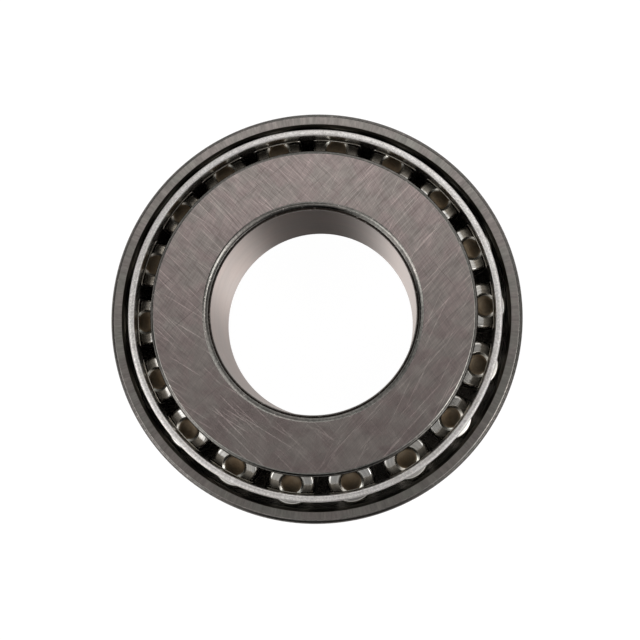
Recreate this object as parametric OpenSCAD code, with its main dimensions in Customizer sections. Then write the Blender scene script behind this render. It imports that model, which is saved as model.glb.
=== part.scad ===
// Single-row tapered roller bearing, assembled: cup (outer ring), cone (inner ring),
// stamped steel cage and eighteen tapered rollers.
// Lengths are in millimetres and angles in degrees. The bearing axis is +Z. The cup back
// face and the cone front face lie in the plane z = 0, and the wide cone back face looks up.
// Both raceways and every roller axis meet in one apex below the bearing, so that the
// rollers roll without sliding.

/* [Envelope] */
// Bore diameter of the cone, which presses onto the shaft
bore_d = 33.338; // [32.8:0.001:33.8]
// Outside diameter of the cup, which presses into the housing
outer_d = 68.263; // [67.9:0.001:69.5]
// Width over the assembled bearing, equal to the width of the cone
bearing_w = 22.225; // [22.1:0.005:22.7]
// Width of the cup
cup_w = 17.463; // [17.1:0.001:17.8]

/* [Rollers] */
// Diameter of a roller at its large end
roller_d = 7.72; // [7.6:0.01:7.8]
// Length of a roller
roller_len = 15.6; // [15:0.1:15.8]
// Angle between a roller's axis and the bearing axis
roller_tilt = 17.8; // [17.5:0.1:18.1]
// Radius from the bearing axis to the middle of a roller's large end
roller_r = 27.96; // [27.86:0.01:28.06]
// Height of the middle of a roller's large end
roller_z = 17.94; // [17.84:0.01:18.04]
// Diameter of the dimple in a roller's large end
dimple_d = 4.1; // [3.6:0.1:4.4]
// Depth of the dimple in a roller's large end
dimple_depth = 0.3; // [0.25:0.05:0.4]

/* [Raceways] */
// Running clearance between a roller and each raceway
race_play = 0.05; // [0.04:0.01:0.1]
// Running clearance between a roller's large end and the cone's thrust rib
rib_play = 0.13; // [0.1:0.01:0.2]
// Outside diameter of the cone's large thrust rib
rib_d = 52.9; // [52.4:0.1:53.2]
// Outside diameter of the cone's small retaining rib
small_rib_d = 41.8; // [41.4:0.1:42]

/* [Cage] */
// Thickness of the cage's steel sheet
sheet_t = 1.09; // [0.9:0.01:1.15]
// Height of the cage's cut edge at the large end
cage_top = 20.43; // [20.2:0.01:20.6]
// Radius of the middle of the sheet at the large end
cage_r = 29.925; // [29.8:0.005:30]
// Height of the bend below the cage's upright ring at the large end
cage_bend_z = 17.75; // [17.55:0.05:17.95]
// Radius of the middle of the sheet at the small end bend
cage_small_r = 24.05; // [23.9:0.05:24.2]
// Height of the middle of the small end flange
flange_z = 1.35; // [1.25:0.05:1.45]
// Inner radius of the small end flange
flange_r = 21.8; // [21.6:0.05:22]
// Clearance between a roller's side and its pocket
pocket_play = 0.16; // [0.14:0.01:0.2]
// Clearance between a roller's ends and its pocket
pocket_end = 0.25; // [0.2:0.05:0.35]

/* [Edges] */
// Chamfer between the cone's bore and its back face
bore_chamfer = 1.15; // [0.9:0.05:1.3]
// Chamfer between the cup's outside and its front face
cup_chamfer = 0.7; // [0.5:0.05:0.9]
// Corner radius between the cup's outside and its back face
cup_back_radius = 1.5; // [1:0.1:2]
// Width of the bevel around the cone's back face
rib_bevel = 0.65; // [0.4:0.05:0.7]

/* [Hidden] */
$fn = 180;
roller_count = 18;

// Distance from the apex to the large end, and the apex height on the axis
apex_len = roller_r / sin(roller_tilt);
apex_z = roller_z - roller_r / tan(roller_tilt);
// Half angle of the roller, and half angles of the two raceways
half_angle = atan(roller_d / 2 / apex_len);
cup_angle = roller_tilt + half_angle;
cone_angle = roller_tilt - half_angle;
bore_r = bore_d / 2;
outer_r = outer_d / 2;
rib_r = rib_d / 2;
small_rib_r = small_rib_d / 2;
// Height of the crown of a roller's large end: a sphere about the apex
crown = pow(roller_d / 2, 2) / (2 * apex_len);

// Raceway radii at a height
function cup_race(z) = (z - apex_z) * tan(cup_angle) + race_play / cos(cup_angle);
function cone_race(z) = (z - apex_z) * tan(cone_angle) - race_play / cos(cone_angle);
// A point in the roller's axial plane: s along the axis from the large end, w across it, outwards
function roller_pt(s, w) = [
    roller_r + s * sin(roller_tilt) + w * cos(roller_tilt),
    roller_z + s * cos(roller_tilt) - w * sin(roller_tilt)];

// Rounds the corners of a closed outline whose points are [x, y, radius]
function unit(v) = v / norm(v);
function corner(a, b, c, r, n) = r <= 0 ? [b] :
    let (u = unit(a - b), w = unit(c - b), half = acos(u * w) / 2,
         centre = b + unit(u + w) * r / sin(half),
         p = b + u * r / tan(half) - centre, q = b + w * r / tan(half) - centre,
         a0 = atan2(p.y, p.x), turn = (atan2(q.y, q.x) - a0 + 540) % 360 - 180)
    [for (i = [0 : n]) centre + r * [cos(a0 + turn * i / n), sin(a0 + turn * i / n)]];
function xy(p) = [p[0], p[1]];
function rounded(pts, n = 5) = [for (i = [0 : len(pts) - 1])
    each corner(xy(pts[(i + len(pts) - 1) % len(pts)]), xy(pts[i]),
                xy(pts[(i + 1) % len(pts)]), pts[i][2], n)];
// A turned edge from a to b that bows out to the right of its way, with a fine arris at each end
function bowed(a, b, bow = 25, n = 6) =
    let (d = b - a, c = norm(d), r = c / 2 / sin(bow),
         centre = (a + b) / 2 + [-d.y, d.x] / c * r * cos(bow), v = a - centre)
    [for (i = [0 : n]) let (t = 2 * bow * i / n)
        [centre.x + v.x * cos(t) - v.y * sin(t), centre.y + v.x * sin(t) + v.y * cos(t),
         i == 0 || i == n ? 0.05 : 0]];

// Outer ring with its conical raceway, the front face narrow and the back face wide
module cup() {
    front_in = cup_race(cup_w) + 0.25;
    color([0.52, 0.5, 0.49])
    rotate_extrude() polygon(rounded([
        [outer_r, 0, cup_back_radius],
        each bowed([outer_r, cup_w - cup_chamfer], [outer_r - cup_chamfer, cup_w]),
        [front_in, cup_w, 0.06],
        [cup_race(cup_w - 0.4), cup_w - 0.4, 0.15],
        [cup_race(0.95), 0.95, 0.2],
        [cup_race(0.95) + 0.75, 0, 0.2]]));
}

// Inner ring with its bore, conical raceway, large thrust rib and small retaining rib,
// and a relief groove at each end of the raceway
module cone() {
    rib_in = roller_pt(rib_play, -roller_d / 2 + 0.45);
    rib_out = roller_pt(rib_play, (rib_r - roller_r) / cos(roller_tilt));
    groove = roller_pt(0.18, -roller_d / 2 - 0.4);
    race_top = roller_pt(-0.6, 0).y - (roller_d / 2) * sin(-roller_tilt);
    race_low = roller_pt(0.35 - roller_len, 0).y + (roller_d / 2) * sin(roller_tilt);
    color([0.56, 0.53, 0.52])
    rotate_extrude() polygon(rounded([
        [bore_r, bore_chamfer - 0.1, 0.3],
        [bore_r + bore_chamfer - 0.1, 0, 0.25],
        [small_rib_r - 0.55, 0, 0.12],
        [small_rib_r, 0.55, 0.15],
        [small_rib_r, race_low - 1.15, 0.2],
        [cone_race(race_low - 0.9) + 0.2, race_low - 0.9, 0.1],
        [cone_race(race_low - 0.45) - 0.4, race_low - 0.45, 0.15],
        [cone_race(race_low), race_low, 0.12],
        [cone_race(race_top), race_top, 0.12],
        [groove.x, groove.y, 0.15],
        [rib_in.x, rib_in.y, 0.1],
        [rib_r, rib_out.y, 0.12],
        each bowed([rib_r, bearing_w - rib_bevel], [rib_r - rib_bevel, bearing_w]),
        each bowed([bore_r + bore_chamfer, bearing_w], [bore_r, bearing_w - bore_chamfer])]));
}

// A roller in its own frame: the axis is +Z and the large end's edge lies at z = 0
module roller_body() {
    large = roller_d / 2;
    small = (apex_len - roller_len) * tan(half_angle);
    rotate_extrude($fn = 96) polygon(rounded([
        [0, -dimple_depth, 0],
        [dimple_d / 2 - 0.43, -dimple_depth, 1.1],
        [dimple_d / 2, crown * (1 - pow(dimple_d / roller_d, 2)), 0.12],
        [(dimple_d + roller_d) / 4, crown * (1 - pow((dimple_d + roller_d) / (2 * roller_d), 2)), 0],
        [large, 0, 0.6],
        [small, -roller_len, 0.3],
        [1.75, -roller_len, 0.12],
        [1.25, 0.4 - roller_len, 0.15],
        [0, 0.4 - roller_len, 0]]));
}

// Places a child from the roller's frame into pocket number i, counted from +X
module in_pocket(i) {
    rotate([0, 0, (i - 1) * 360 / roller_count])
    translate([roller_r, 0, roller_z]) rotate([0, roller_tilt, 0]) children();
}

// A tapered roller, hollowed by a dimple at each end
module roller(i) {
    color([0.62, 0.6, 0.58]) in_pocket(i) roller_body();
}

// Pocket opening: the roller's own taper with clearance all round
module pocket() {
    top = pocket_end + crown;
    bottom = -roller_len - pocket_end;
    grow = pocket_play / cos(half_angle);
    translate([0, 0, bottom]) cylinder(h = top - bottom,
        r1 = (apex_len + bottom) * tan(half_angle) + grow,
        r2 = (apex_len + top) * tan(half_angle) + grow);
}

// Cage: one stamped sheet, upright at the large end, conical along the rollers, and turned
// inwards as a flange at the small end, with a pocket for each roller
module cage() {
    half = sheet_t / 2;
    slope = atan((cage_r - cage_small_r) / (cage_bend_z - flange_z));
    // mitres of the two bends
    m1 = half * tan(slope / 2);
    m2 = half * tan((90 - slope) / 2);
    color([0.8, 0.79, 0.77])
    difference() {
        rotate_extrude() polygon(rounded([
            [cage_r + half, cage_top, sheet_t * 0.41],
            [cage_r - half, cage_top, sheet_t * 0.41],
            [cage_r - half, cage_bend_z + m1, 0],
            [cage_small_r - m2, flange_z + half, 0.4],
            [flange_r, flange_z + half, 0.1],
            [flange_r, flange_z - half, 0.1],
            [cage_small_r + m2, flange_z - half, 1.3],
            [cage_r + half, cage_bend_z - m1, 0]]));
        for (i = [1 : roller_count]) in_pocket(i) pocket();
    }
}

cup();
cone();
cage();
roller(1);  // roller_01
roller(2);  // roller_02
roller(3);  // roller_03
roller(4);  // roller_04
roller(5);  // roller_05
roller(6);  // roller_06
roller(7);  // roller_07
roller(8);  // roller_08
roller(9);  // roller_09
roller(10);  // roller_10
roller(11);  // roller_11
roller(12);  // roller_12
roller(13);  // roller_13
roller(14);  // roller_14
roller(15);  // roller_15
roller(16);  // roller_16
roller(17);  // roller_17
roller(18);  // roller_18
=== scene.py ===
"""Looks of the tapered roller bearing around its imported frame. Metres; the bearing axis is +Z."""

import math

import bmesh
import bpy
import numpy as np
from mathutils import Matrix


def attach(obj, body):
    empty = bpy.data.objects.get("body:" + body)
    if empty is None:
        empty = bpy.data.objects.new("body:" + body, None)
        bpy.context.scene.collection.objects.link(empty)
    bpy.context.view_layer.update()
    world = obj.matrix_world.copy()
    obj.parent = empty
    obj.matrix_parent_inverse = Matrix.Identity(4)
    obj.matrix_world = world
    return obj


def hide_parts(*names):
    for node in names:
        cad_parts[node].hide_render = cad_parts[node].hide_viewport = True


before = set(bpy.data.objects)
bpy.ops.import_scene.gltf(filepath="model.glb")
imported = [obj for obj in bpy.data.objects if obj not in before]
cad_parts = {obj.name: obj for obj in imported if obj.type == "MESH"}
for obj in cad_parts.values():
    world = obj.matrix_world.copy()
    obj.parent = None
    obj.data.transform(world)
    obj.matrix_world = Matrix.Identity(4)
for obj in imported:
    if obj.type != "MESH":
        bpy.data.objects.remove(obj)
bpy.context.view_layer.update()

MM = 0.001
D2R = math.pi / 180

# ------------------------------------------------------------------ sizes, in millimetres
BORE_R, OUTER_R, WIDTH, CUP_W = 33.338 / 2, 68.263 / 2, 22.225, 17.463
TILT, ROLL_R, ROLL_Z, ROLL_D, ROLL_LEN = 17.8 * D2R, 27.96, 17.94, 7.72, 15.6
APEX_LEN = ROLL_R / math.sin(TILT)
APEX_Z = ROLL_Z - ROLL_R / math.tan(TILT)
HALF = math.atan(ROLL_D / 2 / APEX_LEN)
CUP_ANGLE, CONE_ANGLE = TILT + HALF, TILT - HALF
CROWN = (ROLL_D / 2) ** 2 / (2 * APEX_LEN)
PLAY, RIB_PLAY = 0.05, 0.13
RIB_R, SMALL_RIB_R = 52.9 / 2, 41.8 / 2
DIMPLE_D, DIMPLE_DEPTH = 4.1, 0.3
SHEET = 1.09
COUNT = 18


def cup_race(z):
    return (z - APEX_Z) * math.tan(CUP_ANGLE) + PLAY / math.cos(CUP_ANGLE)


def cone_race(z):
    return (z - APEX_Z) * math.tan(CONE_ANGLE) - PLAY / math.cos(CONE_ANGLE)


def roller_pt(s, w):
    """Radius and height of a point in the roller's axial plane: s along its axis, w across it."""
    return (
        ROLL_R + s * math.sin(TILT) + w * math.cos(TILT),
        ROLL_Z + s * math.cos(TILT) - w * math.sin(TILT),
    )


# ------------------------------------------------------------------ mesh helpers
def outline(corners, closed=True, arc=11.0, hold=0.07):
    """Rounds an outline of (r, z, fillet, zone of the side after it, zone of the corner).
    Gives points and the zone of the side after each. Loops close to each corner keep the flats flat."""
    n = len(corners)
    runs = []
    for i, (r, z, rad, _, _) in enumerate(corners):
        b = np.array([r, z], float)
        if rad <= 0 or (not closed and i in (0, n - 1)):
            runs.append([b])
            continue
        a = np.array(corners[i - 1][:2], float)
        c = np.array(corners[(i + 1) % n][:2], float)
        u, w = (a - b) / np.linalg.norm(a - b), (c - b) / np.linalg.norm(c - b)
        half = math.acos(max(-1.0, min(1.0, float(u @ w)))) / 2
        bis = (u + w) / np.linalg.norm(u + w)
        centre = b + bis * rad / math.sin(half)
        p, q = b + u * rad / math.tan(half) - centre, b + w * rad / math.tan(half) - centre
        a0 = math.atan2(p[1], p[0])
        turn = (math.atan2(q[1], q[0]) - a0 + 3 * math.pi) % (2 * math.pi) - math.pi
        k = max(2, math.ceil(abs(turn) / ((arc if rad > 0.2 else 18.0) * D2R)))
        runs.append(
            [centre + rad * np.array([math.cos(a0 + turn * j / k), math.sin(a0 + turn * j / k)]) for j in range(k + 1)]
        )
    pts, zones = [], []
    for i in range(n):
        side, bend = corners[i][3], corners[i][4]
        for j, p in enumerate(runs[i]):
            pts.append(p)
            zones.append(bend if j < len(runs[i]) - 1 else side)
        if not closed and i == n - 1:
            break
        a, b = runs[i][-1], runs[(i + 1) % n][0]
        length = float(np.linalg.norm(b - a))
        if length > 0.3:
            h = min(hold, length / 4) / length
            for t in (h, 1 - h):
                pts.append(a + (b - a) * t)
                zones.append(side)
    return np.array(pts), zones


def bowed(a, b, zone, after, bow=25.0, n=8):
    """Corners of a turned edge from a to b that bows outwards, with a fine arris at each end."""
    a, b = np.array(a), np.array(b)
    d = b - a
    c = float(np.hypot(*d))
    rad = c / 2 / math.sin(bow * D2R)
    centre = (a + b) / 2 + np.array([-d[1], d[0]]) / c * rad * math.cos(bow * D2R)
    v = a - centre
    out = []
    for i in range(n + 1):
        t = 2 * bow * i / n * D2R
        out.append((centre[0] + v[0] * math.cos(t) - v[1] * math.sin(t), centre[1] + v[0] * math.sin(t) + v[1] * math.cos(t),
                    0.05 if i in (0, n) else 0, zone if i < n else after, zone))
    return out


def new_mesh(name, verts, faces, zones, materials):
    me = bpy.data.meshes.new(name)
    me.from_pydata([tuple(v) for v in verts], [], faces)
    for m in materials:
        me.materials.append(m)
    me.polygons.foreach_set("material_index", np.array(zones, np.int32))
    me.polygons.foreach_set("use_smooth", np.ones(len(faces), bool))
    me.update()
    me.validate()
    return me


def new_object(name, me):
    o = bpy.data.objects.new(name, me)
    bpy.context.scene.collection.objects.link(o)
    return o


def lathe(name, pts, zones, segs, materials, closed=True):
    """Turns an outline about Z. The outline runs anticlockwise in (r, z), so the faces look outwards."""
    ang = np.arange(segs) * 2 * math.pi / segs
    cs, sn = np.cos(ang), np.sin(ang)
    verts, rows = [], []
    for r, z in pts:
        if r < 1e-9:
            rows.append([len(verts)] * segs)
            verts.append((0.0, 0.0, z * MM))
        else:
            rows.append(list(range(len(verts), len(verts) + segs)))
            verts.extend(zip(r * cs * MM, r * sn * MM, np.full(segs, z * MM)))
    faces, kinds = [], []
    n = len(pts)
    for i in range(n if closed else n - 1):
        a, b = rows[i], rows[(i + 1) % n]
        for j in range(segs):
            k = (j + 1) % segs
            f = [a[j], a[k], b[k], b[j]]
            f = [v for x, v in enumerate(f) if v not in f[:x]]
            faces.append(f)
            kinds.append(zones[i])
    return new_mesh(name, verts, faces, kinds, materials)


# ------------------------------------------------------------------ node helpers
class Tree:
    """A node material with its Principled shader, and short calls for the nodes that feed it."""

    def __init__(self, name, roughness=0.3, metallic=1.0, aniso=None):
        self.mat = bpy.data.materials.new(name)
        self.mat.use_nodes = True
        self.t = self.mat.node_tree
        self.t.nodes.clear()
        out = self.t.nodes.new("ShaderNodeOutputMaterial")
        self.bsdf = self.t.nodes.new("ShaderNodeBsdfPrincipled")
        self.t.links.new(self.bsdf.outputs[0], out.inputs[0])
        self.bsdf.inputs["Metallic"].default_value = metallic
        self.bsdf.inputs["Roughness"].default_value = roughness
        if aniso is not None:
            self.bsdf.inputs["Anisotropic"].default_value = aniso
            tan = self.node("ShaderNodeTangent", direction_type="RADIAL", axis="Z")
            self.t.links.new(tan.outputs[0], self.bsdf.inputs["Tangent"])
        coord = self.node("ShaderNodeTexCoord")
        self.p = self.vec("SCALE", coord.outputs["Object"], scale=1000.0)
        sep = self.node("ShaderNodeSeparateXYZ")
        self.t.links.new(self.p, sep.inputs[0])
        self.x, self.y, self.z = sep.outputs
        self._r = None

    def node(self, kind, **props):
        n = self.t.nodes.new(kind)
        for k, v in props.items():
            setattr(n, k, v)
        return n

    def put(self, socket, value):
        if isinstance(value, bpy.types.NodeSocket):
            self.t.links.new(value, socket)
        elif value is not None:
            socket.default_value = value

    def math(self, op, a, b=None, c=None, clamp=False):
        n = self.node("ShaderNodeMath", operation=op, use_clamp=clamp)
        for i, v in enumerate((a, b, c)):
            if v is not None:
                self.put(n.inputs[i], v)
        return n.outputs[0]

    def vec(self, op, a, b=None, scale=None):
        n = self.node("ShaderNodeVectorMath", operation=op)
        self.put(n.inputs[0], a)
        if b is not None:
            self.put(n.inputs[1], b)
        if scale is not None:
            self.put(n.inputs["Scale"], scale)
        return n.outputs["Value"] if op in ("LENGTH", "DOT_PRODUCT", "DISTANCE") else n.outputs["Vector"]

    def xyz(self, x, y, z):
        n = self.node("ShaderNodeCombineXYZ")
        for i, v in enumerate((x, y, z)):
            self.put(n.inputs[i], v)
        return n.outputs[0]

    @property
    def r(self):
        if self._r is None:
            self._r = self.vec("LENGTH", self.xyz(self.x, self.y, 0.0))
        return self._r

    def noise(self, v, scale=1.0, detail=2.0, rough=0.5, distort=0.0, w=None):
        n = self.node("ShaderNodeTexNoise", noise_dimensions="4D" if w is not None else "3D")
        self.put(n.inputs["Vector"], v)
        n.inputs["Scale"].default_value = scale
        n.inputs["Detail"].default_value = detail
        n.inputs["Roughness"].default_value = rough
        n.inputs["Distortion"].default_value = distort
        if w is not None:
            self.put(n.inputs["W"], w)
        return n.outputs["Fac"]

    def ramp(self, v, a, b, lo=0.0, hi=1.0, smooth=True):
        n = self.node("ShaderNodeMapRange", interpolation_type="SMOOTHSTEP" if smooth else "LINEAR", clamp=True)
        self.put(n.inputs["Value"], v)
        for k, x in (("From Min", a), ("From Max", b), ("To Min", lo), ("To Max", hi)):
            self.put(n.inputs[k], x)
        return n.outputs["Result"]

    def mix(self, fac, a, b, blend="MIX"):
        n = self.node("ShaderNodeMix", data_type="RGBA", blend_type=blend, clamp_factor=True)
        self.put(n.inputs[0], fac)
        for i, v in ((6, a), (7, b)):
            self.put(n.inputs[i], v if isinstance(v, bpy.types.NodeSocket) else (*v, 1.0))
        return n.outputs[2]

    def gain(self, colour, factor):
        """Colour times a grey factor."""
        return self.vec("SCALE", colour, scale=factor)

    def along(self, angle, length, width, shift=0.0):
        """Flat coordinates for marks that run at an angle in degrees, about length by width millimetres."""
        n = self.node("ShaderNodeMapping", vector_type="TEXTURE")
        self.put(n.inputs["Vector"], self.p)
        n.inputs["Location"].default_value = (shift, -shift, 0.0)
        n.inputs["Rotation"].default_value = (0.0, 0.0, angle * D2R)
        n.inputs["Scale"].default_value = (length, width, 1.0)
        return n.outputs[0]

    def rand(self):
        return self.node("ShaderNodeObjectInfo").outputs["Random"]

    def bump(self, height, micron, strength=1.0):
        n = self.node("ShaderNodeBump")
        n.inputs["Strength"].default_value = strength
        n.inputs["Distance"].default_value = micron * 1e-6
        self.put(n.inputs["Height"], height)
        self.t.links.new(n.outputs[0], self.bsdf.inputs["Normal"])

    def finish(self, colour, rough):
        self.put(self.bsdf.inputs["Base Color"], colour)
        self.put(self.bsdf.inputs["Roughness"], rough)
        return self.mat


# ------------------------------------------------------------------ materials
def ground_flat(name):
    """Wide flat face of the cone: disc-ground, with two crossing families of long fine marks."""
    m = Tree(name)

    def line(angle, length, width, shift, k):
        """Streaks about 1, as light as k times their noise."""
        return m.ramp(m.noise(m.along(angle, length, width, shift), detail=2.0, rough=0.55),
                      0.0, 1.0, 1 - k / 2, 1 + k / 2, smooth=False)

    def family(a, shift, cross):
        fine = m.math("MULTIPLY", line(a, 3.2, 0.15, shift, 0.85), line(a - 7, 9.0, 0.34, shift + 31, 0.55))
        return m.math("MULTIPLY", fine, line(cross, 3.6, 0.17, shift + 57, 0.55))

    def cuts(angle, shift, lo):
        return m.ramp(m.noise(m.along(angle, 13.0, 0.15, shift), detail=1.0, rough=0.4), lo, lo + 0.07)

    patch = m.noise(m.p, scale=0.16, detail=2.0)
    side = m.ramp(m.math("ADD", m.math("MULTIPLY", m.x, 0.035), patch), 0.25, 0.85)
    other = m.math("SUBTRACT", 1.0, side)
    lines = m.math("ADD", m.math("MULTIPLY", family(136, 0.0, 58), other), m.math("MULTIPLY", family(47, 140.0, 118), side))
    bright = m.math("ADD", m.math("MULTIPLY", m.math("MAXIMUM", cuts(133, 7.0, 0.65), cuts(146, 201.0, 0.67)), other),
                    m.math("MULTIPLY", m.math("MAXIMUM", cuts(45, 77.0, 0.65), cuts(62, 311.0, 0.67)), side))
    dark = m.math("MAXIMUM", cuts(128, 400.0, 0.68), cuts(38, 470.0, 0.68))
    stain = m.noise(m.p, scale=0.30, detail=3.0, rough=0.55, distort=0.4)
    bloom = m.noise(m.p, scale=0.62, detail=3.0, rough=0.6)
    colour = m.mix(m.ramp(stain, 0.38, 0.62), (0.433, 0.357, 0.34), (0.405, 0.356, 0.332))
    level = m.math("MULTIPLY", lines, m.ramp(bloom, 0.3, 0.7, 0.92, 1.08))
    level = m.math("MULTIPLY", level, m.math("ADD", m.math("MULTIPLY", bright, 0.6), 1.0))
    level = m.math("MULTIPLY", level, m.math("SUBTRACT", 1.0, m.math("MULTIPLY", dark, 0.3)))
    rough = m.math("ADD", m.ramp(lines, 0.6, 1.4, 0.34, 0.26), m.ramp(stain, 0.3, 0.7, 0.0, 0.05))
    m.bump(m.math("SUBTRACT", lines, m.math("ADD", bright, dark)), 4.0)
    return m.finish(m.gain(colour, level), rough)


def ground_ring(name, tint, spread=0.12):
    """Narrow flat face of the cup and the back faces: fine marks that cross the ring from edge to edge."""
    m = Tree(name)
    u = m.vec("SCALE", m.vec("NORMALIZE", m.xyz(m.x, m.y, 0.0)), scale=55.0)
    fine = m.noise(m.vec("ADD", u, m.xyz(0.0, 0.0, m.math("MULTIPLY", m.r, 0.35))), scale=2.2, detail=3.0, rough=0.6)
    coarse = m.noise(m.vec("ADD", u, m.xyz(0.0, 0.0, m.math("MULTIPLY", m.r, 0.2))), scale=0.6, detail=2.0)
    stain = m.noise(m.p, scale=0.22, detail=3.0)
    colour = m.mix(m.ramp(stain, 0.36, 0.64), tint, tuple(c * k for c, k in zip(tint, (0.93, 1.0, 0.97))))
    level = m.math("MULTIPLY", m.ramp(fine, 0.3, 0.7, 1 - spread, 1 + spread), m.ramp(coarse, 0.3, 0.7, 0.88, 1.12))
    rough = m.ramp(fine, 0.3, 0.7, 0.37, 0.29)
    m.bump(fine, 2.5)
    return m.finish(m.gain(colour, level), rough)


def turned(name, tint, rough=0.3, pitch=3.0, micron=2.5, aniso=None, spread=0.10, vary=0.2):
    """Turned or ground round surface: fine rings about the axis."""
    m = Tree(name, aniso=aniso)
    line = m.noise(m.xyz(m.math("MULTIPLY", m.x, 0.04), m.math("MULTIPLY", m.y, 0.04),
                         m.math("MULTIPLY", m.math("ADD", m.z, m.math("MULTIPLY", m.r, 0.7)), pitch)),
                   scale=1.0, detail=4.0, rough=0.65)
    stain = m.noise(m.p, scale=0.2, detail=3.0)
    colour = m.mix(m.ramp(stain, 0.36, 0.64), tint, tuple(c * k for c, k in zip(tint, (0.90, 0.95, 0.97))))
    level = m.ramp(line, 0.3, 0.7, 1 - spread, 1 + spread)
    m.bump(line, micron)
    return m.finish(m.gain(colour, level), m.ramp(line, 0.3, 0.7, rough * (1 + vary), rough * (1 - vary)))


def edge(name, tint, rough=0.2, bead=12.0):
    """Turned edge left beside a ground face: fine rings, a slightly beaded skin and a few bright nicks."""
    m = Tree(name)
    ring = m.noise(m.xyz(m.math("MULTIPLY", m.x, 0.05), m.math("MULTIPLY", m.y, 0.05),
                         m.math("MULTIPLY", m.math("ADD", m.z, m.math("MULTIPLY", m.r, 0.7)), 5.0)),
                   scale=1.0, detail=3.0, rough=0.6)
    beads = m.noise(m.p, scale=2.3, detail=2.0, rough=0.5)
    nick = m.ramp(m.noise(m.p, scale=1.7, detail=1.0), 0.71, 0.75)
    stain = m.noise(m.p, scale=0.25, detail=3.0)
    colour = m.mix(m.ramp(stain, 0.36, 0.64), tint, tuple(c * k for c, k in zip(tint, (0.88, 0.92, 0.92))))
    level = m.math("MULTIPLY", m.ramp(ring, 0.3, 0.7, 0.88, 1.12), m.ramp(beads, 0.3, 0.7, 0.78, 1.24))
    level = m.math("MULTIPLY", level, m.math("ADD", m.math("MULTIPLY", nick, 0.9), 1.0))
    m.bump(m.math("SUBTRACT", m.math("ADD", beads, m.math("MULTIPLY", ring, 0.3)), nick), bead)
    return m.finish(m.gain(colour, level), m.ramp(beads, 0.3, 0.7, rough * 1.2, rough * 0.8))


def cage_sheet(name):
    """Pressed sheet steel after tumbling: a fine pebbled skin with oily patches, and painted shade that darkens it the
    deeper it lies among the rollers.
    """
    m = Tree(name)
    pebble = m.noise(m.p, scale=5.5, detail=3.0, rough=0.6)
    patch = m.noise(m.p, scale=0.35, detail=3.0, distort=0.5)
    colour = m.mix(m.ramp(patch, 0.35, 0.65), (0.29, 0.265, 0.23), (0.35, 0.325, 0.29))
    # painted shade: the sheet is darkest deep among the rollers and lighter towards its top ring and its flange
    painted_depth_shade = m.math("MAXIMUM", m.ramp(m.z, 18.0, 20.2, 0.20, 0.74), m.ramp(m.z, 2.6, 8.0, 0.85, 0.12))
    level = m.math("MULTIPLY", m.ramp(pebble, 0.3, 0.7, 0.85, 1.12), painted_depth_shade)
    m.bump(pebble, 5.0)
    return m.finish(m.gain(colour, level), m.ramp(pebble, 0.3, 0.7, 0.32, 0.22))


def cage_cut(name, light, dark, rough, micron, metallic=1.0):
    """Cut edge of the sheet: bright, matt and speckled."""
    m = Tree(name, metallic=metallic)
    speck = m.noise(m.p, scale=3.6, detail=3.0, rough=0.65)
    spot = m.noise(m.p, scale=1.6, detail=2.0)
    patch = m.noise(m.p, scale=0.3, detail=2.0)
    colour = m.mix(m.ramp(patch, 0.35, 0.65), dark, light)
    level = m.math("MULTIPLY", m.ramp(speck, 0.32, 0.68, 0.78, 1.14), m.ramp(spot, 0.3, 0.7, 0.95, 1.04))
    m.bump(m.math("ADD", speck, m.math("MULTIPLY", spot, 0.5)), micron)
    return m.finish(m.gain(colour, level), m.ramp(speck, 0.3, 0.7, rough * 1.15, rough * 0.85))


def roller_end(name):
    """Ground large end of a roller: a polished annulus with concentric marks and a thin oily bloom."""
    m = Tree(name)
    rnd = m.rand()
    ring = m.noise(m.xyz(m.math("MULTIPLY", m.r, 3.4), m.math("MULTIPLY", m.x, 0.10), m.math("MULTIPLY", m.y, 0.10)),
                   scale=1.0, detail=3.0, rough=0.6, w=m.math("MULTIPLY", rnd, 37.0))
    bloom = m.noise(m.p, scale=0.45, detail=2.0, w=m.math("MULTIPLY", rnd, 91.0))
    colour = m.mix(m.ramp(bloom, 0.38, 0.62), (0.60, 0.588, 0.56), (0.55, 0.525, 0.485))
    level = m.ramp(ring, 0.3, 0.7, 0.76, 1.16)
    m.bump(ring, 2.5)
    return m.finish(m.gain(colour, level), m.ramp(ring, 0.3, 0.7, 0.15, 0.09))


def roller_dimple(name):
    """Dimple of a roller's end: turned and left with a brown film of oil."""
    m = Tree(name)
    rnd = m.rand()
    ring = m.noise(m.xyz(m.math("MULTIPLY", m.r, 3.0), m.math("MULTIPLY", m.x, 0.15), m.math("MULTIPLY", m.y, 0.15)),
                   scale=1.0, detail=3.0, rough=0.6, w=m.math("MULTIPLY", rnd, 53.0))
    film = m.noise(m.p, scale=0.55, detail=3.0, w=m.math("MULTIPLY", rnd, 17.0))
    colour = m.mix(m.ramp(film, 0.36, 0.64), (0.182, 0.132, 0.083), (0.235, 0.185, 0.128))
    level = m.ramp(ring, 0.3, 0.7, 0.85, 1.10)
    m.bump(ring, 4.0)
    return m.finish(m.gain(colour, level), m.ramp(ring, 0.3, 0.7, 0.50, 0.40))


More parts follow.
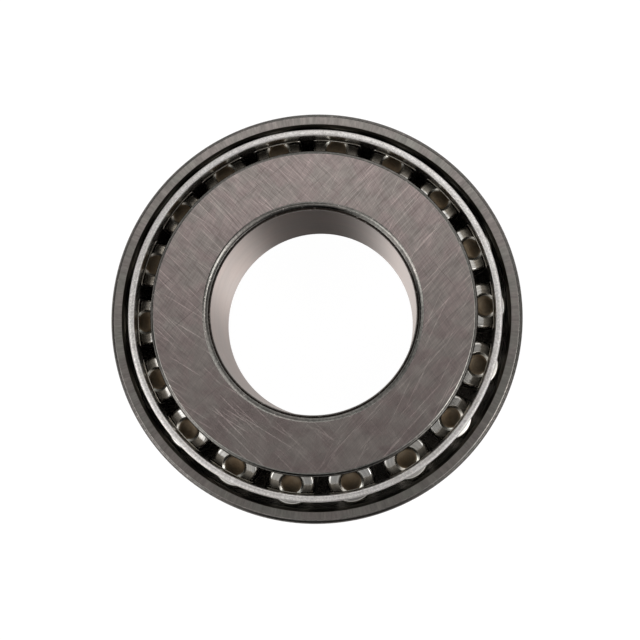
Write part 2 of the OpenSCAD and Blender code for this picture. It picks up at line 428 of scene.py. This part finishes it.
M_FACE = ground_flat("cone_face_ground")
M_CONE_EDGE = edge("cone_edge_turned", (0.245, 0.228, 0.21), rough=0.12, bead=15.0)
M_BORE = turned("cone_bore_ground", (0.300, 0.250, 0.232), rough=0.34, pitch=2.4, micron=0.15, aniso=0.6, spread=0.008, vary=0.05)
M_RACE = turned("raceway_ground", (0.30, 0.285, 0.25), rough=0.28, pitch=4.5, micron=1.0, spread=0.06)
M_CONE_BACK = ground_ring("cone_front_ground", (0.388, 0.358, 0.342))
M_CUP_FACE = ground_ring("cup_face_ground", (0.375, 0.333, 0.312), spread=0.15)
M_CUP_EDGE = edge("cup_edge_turned", (0.21, 0.191, 0.177), rough=0.20, bead=8.0)
M_CUP_LIP = turned("cup_lip_turned", (0.15, 0.135, 0.115), rough=0.35, pitch=4.0, micron=3.0)
M_CUP_OUT = turned("cup_outside_ground", (0.60, 0.562, 0.537), rough=0.28, pitch=2.6, micron=1.6, aniso=0.5)
M_SHEET = cage_sheet("cage_sheet_tumbled")
M_CUT = cage_cut("cage_cut_edge", (0.89, 0.855, 0.824), (0.84, 0.80, 0.765), 0.36, 34.0, metallic=0.88)
M_WINDOW = cage_cut("cage_window_edge", (0.388, 0.367, 0.333), (0.325, 0.3, 0.267), 0.34, 14.0)
M_RIDGE = cage_cut("cage_window_ridge", (0.56, 0.53, 0.475), (0.49, 0.455, 0.40), 0.20, 3.0)
M_END = roller_end("roller_end_ground")
M_DIMPLE = roller_dimple("roller_dimple_oiled")
M_DIMPLE_WALL = turned("roller_dimple_wall", (0.60, 0.56, 0.50), rough=0.20, pitch=5.0, micron=1.5, spread=0.08)
M_BODY = turned("roller_side_ground", (0.525, 0.5, 0.483), rough=0.26, pitch=4.0, micron=0.8, spread=0.05)

# ------------------------------------------------------------------ cup
# zones: 0 face, 1 edge, 2 outside, 3 raceway, 4 back face, 5 lip of the raceway
cup_pts, cup_zones = outline([
    (OUTER_R, 0.0, 1.5, 2, 1),
    *bowed((OUTER_R, CUP_W - 0.7), (OUTER_R - 0.7, CUP_W), 1, 0),
    (cup_race(CUP_W) + 0.25, CUP_W, 0.06, 5, 5),
    (cup_race(CUP_W - 0.4), CUP_W - 0.4, 0.15, 3, 5),
    (cup_race(0.95), 0.95, 0.2, 1, 1),
    (cup_race(0.95) + 0.75, 0.0, 0.2, 4, 1),
])
cup = new_object("cup_ring", lathe("cup_ring", cup_pts, cup_zones, 192,
                                   [M_CUP_FACE, M_CUP_EDGE, M_CUP_OUT, M_RACE, M_CONE_BACK, M_CUP_LIP]))

# ------------------------------------------------------------------ cone
# zones: 0 face, 1 edge, 2 bore, 3 raceway, 4 front face
rib_in = roller_pt(RIB_PLAY, -ROLL_D / 2 + 0.45)
rib_out = roller_pt(RIB_PLAY, (RIB_R - ROLL_R) / math.cos(TILT))
groove = roller_pt(0.18, -ROLL_D / 2 - 0.4)
race_top = roller_pt(-0.6, 0)[1] + (ROLL_D / 2) * math.sin(TILT)
race_low = roller_pt(0.35 - ROLL_LEN, 0)[1] + (ROLL_D / 2) * math.sin(TILT)
cone_pts, cone_zones = outline([
    (BORE_R, 1.05, 0.3, 1, 1),
    (BORE_R + 1.05, 0.0, 0.25, 4, 1),
    (SMALL_RIB_R - 0.55, 0.0, 0.12, 1, 1),
    (SMALL_RIB_R, 0.55, 0.15, 1, 1),
    (SMALL_RIB_R, race_low - 1.15, 0.2, 1, 1),
    (cone_race(race_low - 0.9) + 0.2, race_low - 0.9, 0.1, 1, 1),
    (cone_race(race_low - 0.45) - 0.4, race_low - 0.45, 0.15, 1, 1),
    (cone_race(race_low), race_low, 0.12, 3, 1),
    (cone_race(race_top), race_top, 0.12, 1, 1),
    (groove[0], groove[1], 0.15, 1, 1),
    (rib_in[0], rib_in[1], 0.1, 3, 1),
    (RIB_R, rib_out[1], 0.12, 1, 1),
    *bowed((RIB_R, WIDTH - 0.65), (RIB_R - 0.65, WIDTH), 1, 0),
    *bowed((BORE_R + 1.15, WIDTH), (BORE_R, WIDTH - 1.15), 1, 2),
])
cone = new_object("cone_ring", lathe("cone_ring", cone_pts, cone_zones, 192,
                                     [M_FACE, M_CONE_EDGE, M_BORE, M_RACE, M_CONE_BACK]))

# ------------------------------------------------------------------ rollers
# zones: 0 side, 1 end, 2 dimple, 3 wall of the dimple
small_r = (APEX_LEN - ROLL_LEN) * math.tan(HALF)


def end_z(r):
    """Height of the crowned large end at a radius."""
    return CROWN * (1 - (2 * r / ROLL_D) ** 2)


roll_corners = [
    (0.0, 0.4 - ROLL_LEN, 0, 2, 2),
    (1.25, 0.4 - ROLL_LEN, 0.15, 2, 2),
    (1.75, -ROLL_LEN, 0.12, 1, 1),
    (small_r, -ROLL_LEN, 0.3, 0, 1),
    (ROLL_D / 2, 0.0, 0.6, 1, 1),
    (2.955, end_z(2.955), 0, 1, 1),
    (DIMPLE_D / 2, end_z(DIMPLE_D / 2), 0.12, 2, 2),
    (DIMPLE_D / 2 - 0.43, -DIMPLE_DEPTH, 1.1, 2, 2),
    (0.0, -DIMPLE_DEPTH, 0, 2, 2),
]
roll_pts, roll_zones = outline(roll_corners, closed=False, arc=9.0, hold=0.05)
roll_zones = [3 if zone == 2 and r > 1.68 and z > -1 else zone for zone, (r, z) in zip(roll_zones, (roll_pts + np.roll(roll_pts, -1, 0)) / 2)]
roll_mesh = lathe("roller_taper", roll_pts, roll_zones, 40, [M_BODY, M_END, M_DIMPLE, M_DIMPLE_WALL], closed=False)
rollers = []
rng = np.random.default_rng(7)
for i in range(COUNT):
    o = new_object(f"roller_{i + 1:02d}_taper", roll_mesh)
    o.matrix_world = (
        Matrix.Rotation(i * 2 * math.pi / COUNT, 4, "Z")
        @ Matrix.Translation((ROLL_R * MM, 0, ROLL_Z * MM))
        @ Matrix.Rotation(TILT, 4, "Y")
        @ Matrix.Rotation(float(rng.uniform(0, 2 * math.pi)), 4, "Z")
    )
    rollers.append(o)


# ------------------------------------------------------------------ cage
def cage_mesh():
    """One pressed sheet: an upright ring, a conical body with eighteen windows and a flange turned inwards."""
    half = SHEET / 2
    # middle of the sheet's section, walked from the cut edge down to the flange
    pts = [np.array([29.925, 20.43])]
    for (a, b, c, rad) in (((29.925, 20.43), (29.925, 17.75), (24.05, 1.35), 1.2),
                           ((29.925, 17.75), (24.05, 1.35), (21.8, 1.35), 1.0)):
        a, b, c = map(np.array, (a, b, c))
        u, w = (a - b) / np.linalg.norm(a - b), (c - b) / np.linalg.norm(c - b)
        h = math.acos(float(u @ w)) / 2
        centre = b + (u + w) / np.linalg.norm(u + w) * rad / math.sin(h)
        p, q = b + u * rad / math.tan(h) - centre, b + w * rad / math.tan(h) - centre
        a0 = math.atan2(p[1], p[0])
        turn = (math.atan2(q[1], q[0]) - a0 + 3 * math.pi) % (2 * math.pi) - math.pi
        pts += [centre + rad * np.array([math.cos(a0 + turn * k / 40), math.sin(a0 + turn * k / 40)]) for k in range(41)]
    pts.append(np.array([21.8, 1.35]))
    pts = np.array(pts)
    seg = np.diff(pts, axis=0)
    step = np.hypot(seg[:, 0], seg[:, 1])
    S = np.r_[0, np.cumsum(step)]
    ang = np.unwrap(np.arctan2(seg[:, 1], seg[:, 0]))
    mid = (S[:-1] + S[1:]) / 2
    # tangent angles: constant along the straights, turning over the bends
    s_ang = np.r_[0, S[1], mid[1:41], S[41], S[42], mid[42:82], S[82], S[-1]]
    v_ang = np.r_[ang[0], ang[0], ang[1:41], ang[41], ang[41], ang[42:82], ang[-1], ang[-1]]
    order = np.argsort(s_ang, kind="stable")
    s_ang, v_ang = s_ang[order], v_ang[order]
    total = S[-1]

    def sect(s, n):
        t = np.interp(s, s_ang, v_ang)
        return (np.interp(s, S, pts[:, 0]) - np.sin(t) * n, np.interp(s, S, pts[:, 1]) + np.cos(t) * n)

    def roll_coords(s, n, phi):
        r, z = sect(s, n)
        x = r * np.cos(phi) - ROLL_R
        return (x * math.sin(TILT) + (z - ROLL_Z) * math.cos(TILT),
                x * math.cos(TILT) - (z - ROLL_Z) * math.sin(TILT), r * np.sin(phi))

    play = 0.16 / math.cos(HALF)
    top, bottom = 0.25 + CROWN, -ROLL_LEN - 0.25

    def side_phi(s, n):
        lo, hi = np.full_like(s, 0.5 * D2R), np.full_like(s, 9.9 * D2R)
        for _ in range(50):
            m = (lo + hi) / 2
            a, v, t = roll_coords(s, n, m)
            inside = t * t + v * v < ((APEX_LEN + a) * math.tan(HALF) + play) ** 2
            lo, hi = np.where(inside, m, lo), np.where(inside, hi, m)
        return (lo + hi) / 2

    def end_s(phi, n, level):
        lo, hi = np.full_like(phi, 1.0), np.full_like(phi, 20.5)
        for _ in range(50):
            m = (lo + hi) / 2
            above = roll_coords(m, n, phi)[0] > level
            lo, hi = np.where(above, m, lo), np.where(above, hi, m)
        return (lo + hi) / 2

    NT, NS = 5, 14  # steps on half an end, and on a long side

    def window(n, grow=0.0, rad=0.75):
        """Half of a window's edge at depth n in the sheet, from the middle of its large end to the middle of its small end, as (s, phi)."""
        ct = np.array([5.0 * D2R])
        cb = np.array([5.0 * D2R])
        for _ in range(30):
            ct = side_phi(end_s(ct, n, top), n)
            cb = side_phi(end_s(cb, n, bottom), n)
        pt = np.linspace(0, ct[0], 40)
        st = end_s(pt, n, top)
        pb = np.linspace(cb[0], 0, 40)
        sb = end_s(pb, n, bottom)
        ss = np.linspace(st[-1], sb[0], 120)
        ps = side_phi(ss, n)
        radius = lambda s: sect(s, n)[0]

        def flat(s, p):
            return np.c_[s, p * radius(s)]

        def walk(line, dist):
            d = np.r_[0, np.cumsum(np.hypot(*np.diff(line, axis=0).T))]
            return np.c_[np.interp(dist, d, line[:, 0]), np.interp(dist, d, line[:, 1])], d[-1]

        T, Sd, B = flat(st, pt), flat(ss, ps), flat(sb, pb)
        lt, ls, lb = walk(T, 0)[1], walk(Sd, 0)[1], walk(B, 0)[1]

        def bend(p0, c, p1, ts):
            return np.array([(1 - t) ** 2 * p0 + 2 * t * (1 - t) * c + t * t * p1 for t in ts])

        t_in = walk(T, np.array([lt - rad]))[0][0]
        s_in, s_out = walk(Sd, np.array([rad, ls - rad]))[0]
        b_in = walk(B, np.array([rad]))[0][0]
        half_top = walk(T, np.linspace(0, lt - rad, NT - 1))[0]
        ct1 = bend(t_in, T[-1], s_in, (0.25, 0.5))
        ct2 = bend(t_in, T[-1], s_in, (0.75,))
        run = walk(Sd, np.linspace(rad, ls - rad, NS - 3))[0]
        cb1 = bend(s_out, Sd[-1], b_in, (0.25, 0.5))
        cb2 = bend(s_out, Sd[-1], b_in, (0.75,))
        half_bot = walk(B, np.linspace(rad, lb, NT - 1))[0]
        line = np.vstack([half_top, ct1, ct2, run, cb1, cb2, half_bot])
        if grow:
            ext = np.vstack([line[1] * (1, -1), line, line[-2] * (1, -1)])
            d = ext[2:] - ext[:-2]
            d /= np.hypot(d[:, 0], d[:, 1])[:, None]
            line = line + np.c_[-d[:, 1], d[:, 0]] * grow
            line[[0, -1], 1] = 0
        return line[:, 0], line[:, 1] / radius(line[:, 0])

    s_hi, s_lo = 1.95, 19.42
    w_s, _ = window(0.0)
    k0, k1 = NT, NT + NS
    side_s = s_hi + (w_s[k0:k1 + 1] - w_s[k0]) / (w_s[k1] - w_s[k0]) * (s_lo - s_hi)
    end_phi = np.linspace(0, 10 * D2R, NT + 1)
    frame_s = np.r_[np.full(NT, s_hi), side_s, np.full(NT, s_lo)]
    frame_p = np.r_[end_phi[:-1], np.full(NS + 1, 10 * D2R), end_phi[::-1][1:]]

    loops, kinds = [], []  # (n, s, phi) half loops from the outer skin through the window to the inner skin; kind of skin after each
    b, ridge = 0.13, 0.20
    # the punch leaves a fine ridge inside, highest at the window's large end
    height = np.r_[np.ones(7), np.linspace(0.8, 0.2, 5), np.full(13, 0.2)] * ridge
    for sign in (1, -1):
        part = [(sign * half + 0 * frame_s, frame_s, frame_p)]
        zone = [0]

        def add(n, g, kind):
            raised = height * (max(0.0, 1 - ((g - 0.12) / 0.11) ** 2) if sign == -1 else 0.0)
            part.append((n - raised, *window(n, g)))
            zone.append(kind)

        for g in (0.45, b + 0.10) if sign == 1 else (0.45, 0.24, 0.18):
            add(sign * half, g, 3 if sign == -1 and g < 0.3 else 0)
        for t in (0, 30, 60, 90):
            add(sign * (half - b * (1 - math.cos(t * D2R))), b * (1 - math.sin(t * D2R)), 3 if sign == -1 and t < 60 else 2)
        add(sign * (half - b - 0.08), 0.0, 2)
        if sign == 1:
            loops, kinds = part, zone
        else:
            loops += part[::-1]
            kinds += zone[-2::-1]

    bm = bmesh.new()
    grid = {}

    def vert(s, n, phi):
        r, z = sect(s, n)
        key = tuple(np.round((r * math.cos(phi), r * math.sin(phi), z), 4))
        if key not in grid:
            grid[key] = bm.verts.new((r * math.cos(phi) * MM, r * math.sin(phi) * MM, z * MM))
        return grid[key]

    def quad(vs, zone):
        vs = [v for i, v in enumerate(vs) if v not in vs[:i]]
        if len(vs) > 2:
            f = bm.faces.new(vs)
            f.smooth = True
            f.material_index = zone

    rim = [(s_hi, half), (1.3, half), (0.62, half)]
    rr = 0.26
    rim += [(rr * (1 - math.sin(t * D2R)) + 0.0, half - rr * (1 - math.cos(t * D2R))) for t in (-18, 0, 18, 36, 54, 72, 90) if t >= 0]
    rim += [(0.0, n) for n in (0.16, 0.04, -0.08, -0.2)]
    rim += [(rr * (1 - math.sin(t * D2R)), -half + rr * (1 - math.cos(t * D2R))) for t in (90, 72, 54, 36, 18, 0)]
    rim += [(0.34, -half), (1.3, -half), (s_hi, -half)]
    # the cut falls away a little towards the outside
    rim = [(s + 0.16 * max(0.0, (n + 0.3) / (half + 0.3)) ** 2 if s < 0.5 else s, n) for s, n in rim]
    rim_zone = [0, 0, 0] + [1] * (len(rim) - 6) + [0, 0]
    fr = 0.16
    foot = [(s, half) for s in np.r_[s_lo, np.linspace(19.5, S[82], 9), S[82] + 0.12, total - fr - 0.1]]
    n_out = len(foot) - 1
    foot += [(total - fr * (1 - math.sin(t * D2R)), half - fr * (1 - math.cos(t * D2R))) for t in (0, 30, 60, 90)]
    foot += [(total, half - fr - 0.1), (total, -half + fr + 0.1)]
    foot += [(total - fr * (1 - math.sin(t * D2R)), -half + fr * (1 - math.cos(t * D2R))) for t in (90, 60, 30, 0)]
    n_in = len(foot) - 1
    foot += [(s, -half) for s in np.r_[s_lo, np.linspace(19.5, S[82], 9), S[82] + 0.12, total - fr - 0.1][::-1]]
    cols = np.r_[-end_phi[::-1][:-1], end_phi]
    for i in range(COUNT):
        c = i * 20 * D2R
        full = []
        for n, s, p in loops:
            half_a = [vert(a, d, c + q) for a, d, q in zip(s, n, p)]
            half_b = [vert(a, d, c - q) for a, d, q in zip(s, n, p)]
            full.append(half_a + half_b[-2:0:-1])
        count = len(full[0])
        for k in range(len(full) - 1):
            for j in range(count):
                m = (j + 1) % count
                kind = kinds[k] if kinds[k] < 3 else 3 if min(j, count - 1 - j) < 6 else 2
                quad([full[k][j], full[k][m], full[k + 1][m], full[k + 1][j]], kind)
        for path, zones in ((rim, rim_zone), (foot, [1 if n_out < k < n_in else 0 for k in range(len(foot) - 1)])):
            for k in range(len(path) - 1):
                for j in range(len(cols) - 1):
                    (s0, n0), (s1, n1) = path[k], path[k + 1]
                    quad([vert(s0, n0, c + cols[j]), vert(s0, n0, c + cols[j + 1]),
                          vert(s1, n1, c + cols[j + 1]), vert(s1, n1, c + cols[j])], zones[k])
    bmesh.ops.remove_doubles(bm, verts=bm.verts, dist=2e-6)
    bmesh.ops.recalc_face_normals(bm, faces=bm.faces)
    open_edges = sum(1 for e in bm.edges if len(e.link_faces) != 2)
    print("cage: faces", len(bm.faces), "open edges", open_edges, "volume mm3", round(bm.calc_volume(signed=True) * 1e9, 1))
    me = bpy.data.meshes.new("cage_pressed")
    bm.to_mesh(me)
    bm.free()
    for m in (M_SHEET, M_CUT, M_WINDOW, M_RIDGE):
        me.materials.append(m)
    return me


cage = new_object("cage_pressed", cage_mesh())

# ------------------------------------------------------------------ pieces on their bodies
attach(cup, "cup")
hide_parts("cup")
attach(cone, "cone")
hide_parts("cone")
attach(cage, "cage")
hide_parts("cage")
for i, o in enumerate(rollers):
    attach(o, f"roller_{i + 1:02d}")
    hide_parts(f"roller_{i + 1:02d}")

# ------------------------------------------------------------------ studio
TURN = -2.4 * D2R  # the view and the lights stand turned by this about the bearing axis
scene = bpy.context.scene
scene.view_settings.view_transform = "Standard"
scene.view_settings.look = "None"
scene.view_settings.exposure = 0.0
scene.view_settings.gamma = 1.0


def stage_material(name, glow, tone):
    """Pale paper: mostly lit evenly, with a faint soft shadow left in it."""
    mat = bpy.data.materials.new(name)
    mat.use_nodes = True
    b = mat.node_tree.nodes["Principled BSDF"]
    b.inputs["Base Color"].default_value = (tone, tone, tone, 1)
    b.inputs["Roughness"].default_value = 0.9
    b.inputs["Specular IOR Level"].default_value = 0.0
    b.inputs["Emission Color"].default_value = (1, 1, 1, 1)
    b.inputs["Emission Strength"].default_value = glow
    return mat


def disc(name, radius, z, segs=96):
    a = np.arange(segs) * 2 * math.pi / segs
    verts = [(radius * math.cos(t), radius * math.sin(t), z) for t in a]
    me = bpy.data.meshes.new(name)
    me.from_pydata(verts, [], [list(range(segs))])
    return new_object(name, me)


floor = disc("floor", 0.9, -0.00004)
floor.data.materials.append(stage_material("floor_paper", 0.97, 0.12))
floor.visible_glossy = False


def wall_mesh():
    """A round wall far behind the floor, seen by the camera only."""
    segs, rows = 64, [(0.88, -0.002), (0.9, 0.0), (0.96, 0.06), (1.0, 0.2), (0.9, 0.6), (0.6, 0.9), (0.25, 1.03), (0.02, 1.05)]
    verts = [(r * math.cos(j * 2 * math.pi / segs), r * math.sin(j * 2 * math.pi / segs), z) for r, z in rows for j in range(segs)]
    faces = [[k * segs + j, k * segs + (j + 1) % segs, (k + 1) * segs + (j + 1) % segs, (k + 1) * segs + j]
             for k in range(len(rows) - 1) for j in range(segs)]
    me = bpy.data.meshes.new("backdrop")
    me.from_pydata(verts, [], faces)
    return me


backdrop = new_object("backdrop", wall_mesh())
backdrop.data.materials.append(stage_material("backdrop_paper", 1.0, 0.0))
for flag in ("visible_glossy", "visible_diffuse", "visible_transmission", "visible_shadow"):
    setattr(backdrop, flag, False)

# Soft light from all around, as rings of panels: angle from straight up, from, to and soft edge;
# strengths of the ring's panels, anticlockwise, the first one centred on +X
RINGS = (
    (-30, 12, 2, (0.05,)),
    (12, 22, 3, (0, 0.98, 1.1, 0, 0.31, 0.22)),
    (22, 32, 3, (0, 0.82, 0.46, 1.25, 0.07, 0, 0.77, 1.13, 0.65, 0.19)),
    (32, 40, 2, (0.3, 1.44, 1.75, 0.98, 0.72, 0.77, 0.17, 0.48, 2.04, 0.3, 0.5, 0.42, 0.42, 0.45, 0.1)),
    (40, 48, 2, (0.4, 0.8, 1.3, 1.7, 1.0, 0.7, 0.4, 0.9, 1.9, 1.7, 0.75, 0.15, 0.2, 0.6, 3.2)),
    (48, 56, 2, (2.7, 1, 1.3, 0.9, 0.65, 0.55, 0.4, 0.6, 3.4, 2.5, 0.9, 0.95, 0.8, 1.1, 4.4)),
    (56, 68, 3, (0.14, 0.72, 0.29, 0.48, 0.48, 0.74, 0.82, 0.29, 0.17, 1.13)),
    (68, 82, 3, (0.26, 0.26, 0.53, 0.77, 0.17, 0, 1.15, 0, 0.07, 0.1)),
    (82, 97, 3, (0.65, 0.77, 0.79, 0.24, 0.55, 0.17, 1.78, 0, 0, 1.51)),
    (97, 115, 4, (0.1, 0.5, 0.35, 0.45, 0.3, 0.2)),
    (115, 150, 6, (0.6, 0.6, 0.65)),
    (150, 200, 5, (1.75, 0.58, 0.62, 0.55, 0.72, 1.3, 1.6, 0.12, 0.05, 0.12, 0.1, 1.15)),
)
# Further soft boxes: azimuth, half width and soft edge; angle from straight up, from, to and soft edge; strength
BOXES = ()


def studio_world():
    w = bpy.data.worlds.new("studio")
    w.use_nodes = True
    t = w.node_tree
    t.nodes.clear()

    def node(kind, **props):
        n = t.nodes.new(kind)
        for k, v in props.items():
            setattr(n, k, v)
        return n

    def calc(op, a, b=None, c=None):
        n = node("ShaderNodeMath", operation=op)
        for i, v in enumerate((a, b, c)):
            if isinstance(v, bpy.types.NodeSocket):
                t.links.new(v, n.inputs[i])
            elif v is not None:
                n.inputs[i].default_value = v
        return n.outputs[0]

    def step(v, a, b, lo=0.0, hi=1.0):
        n = node("ShaderNodeMapRange", interpolation_type="SMOOTHSTEP", clamp=True)
        t.links.new(v, n.inputs["Value"])
        for k, x in (("From Min", a), ("From Max", b), ("To Min", lo), ("To Max", hi)):
            n.inputs[k].default_value = x
        return n.outputs["Result"]

    sep = node("ShaderNodeSeparateXYZ")
    t.links.new(node("ShaderNodeTexCoord").outputs["Generated"], sep.inputs[0])
    x, y, z = sep.outputs
    theta = calc("MULTIPLY", calc("ARCCOSINE", calc("MINIMUM", calc("MAXIMUM", z, -1.0), 1.0)), 1 / D2R)
    azim = calc("SUBTRACT", calc("MULTIPLY", calc("ARCTAN2", y, x), 1 / D2R), TURN / D2R)
    turn = calc("DIVIDE", calc("WRAP", azim, 360.0, 0.0), 360.0)
    total = None

    def add(light):
        nonlocal total
        total = light if total is None else calc("ADD", total, light)

    for th0, th1, th_soft, panels in RINGS:
        light = calc("MULTIPLY", step(theta, th0 - th_soft, th0 + th_soft), step(theta, th1 - th_soft, th1 + th_soft, 1.0, 0.0))
        if len(panels) == 1:
            add(calc("MULTIPLY", light, panels[0]))
            continue
        top = max(panels)
        ramp = node("ShaderNodeValToRGB")
        stops = ramp.color_ramp.elements
        ramp.color_ramp.interpolation = "EASE"
        stops[0].position, stops[1].position = 0.0, 1.0
        for i in range(1, len(panels)):
            stops.new(i / len(panels))
        for stop, v in zip(stops, (*panels, panels[0])):
            stop.color = (v / top, v / top, v / top, 1.0)
        t.links.new(turn, ramp.inputs[0])
        add(calc("MULTIPLY", light, calc("MULTIPLY", ramp.outputs[0], top)))
    for az, wide, soft, th0, th1, th_soft, power in BOXES:
        gap = calc("ABSOLUTE", calc("WRAP", calc("SUBTRACT", azim, float(az)), 180.0, -180.0))
        mask = step(gap, wide - soft, wide + soft, 1.0, 0.0)
        mask = calc("MULTIPLY", mask, step(theta, th0 - th_soft, th0 + th_soft))
        mask = calc("MULTIPLY", mask, step(theta, th1 - th_soft, th1 + th_soft, 1.0, 0.0))
        add(calc("MULTIPLY", mask, power))
    # the light that comes back up from the table is a little warmer
    warm = node("ShaderNodeCombineColor")
    t.links.new(total, warm.inputs[0])
    for i, share in ((1, 0.93), (2, 0.89)):
        t.links.new(calc("MULTIPLY", total, step(theta, 120.0, 155.0, 1.0, share)), warm.inputs[i])
    bg = node("ShaderNodeBackground")
    t.links.new(warm.outputs[0], bg.inputs["Color"])
    out = node("ShaderNodeOutputWorld")
    t.links.new(bg.outputs[0], out.inputs[0])
    return w


scene.world = studio_world()

# ------------------------------------------------------------------ camera
FOCAL_PX, IMAGE_PX = 1020.3, 640
nudge = 0.5 / FOCAL_PX
rot = (
    Matrix.Rotation(TURN, 4, "Z")
    @ Matrix.Rotation(3.37 * D2R, 4, "Y")
    @ Matrix.Rotation(6.33 * D2R, 4, "X")
    @ Matrix.Rotation(nudge, 4, "Y")
    @ Matrix.Rotation(nudge, 4, "X")
)
place = Matrix.Rotation(TURN, 4, "Z") @ Matrix.Translation((10.84 * MM, -19.59 * MM, 184.25 * MM))
cam_data = bpy.data.cameras.new("camera")
cam_data.sensor_width = 36.0
cam_data.lens = 36.0 * FOCAL_PX / IMAGE_PX
cam_data.clip_start, cam_data.clip_end = 0.005, 10.0
camera = bpy.data.objects.new("camera", cam_data)
scene.collection.objects.link(camera)
camera.matrix_world = Matrix.Translation(place.to_translation()) @ rot
scene.camera = camera

# ------------------------------------------------------------------ update
bpy.context.view_layer.update()
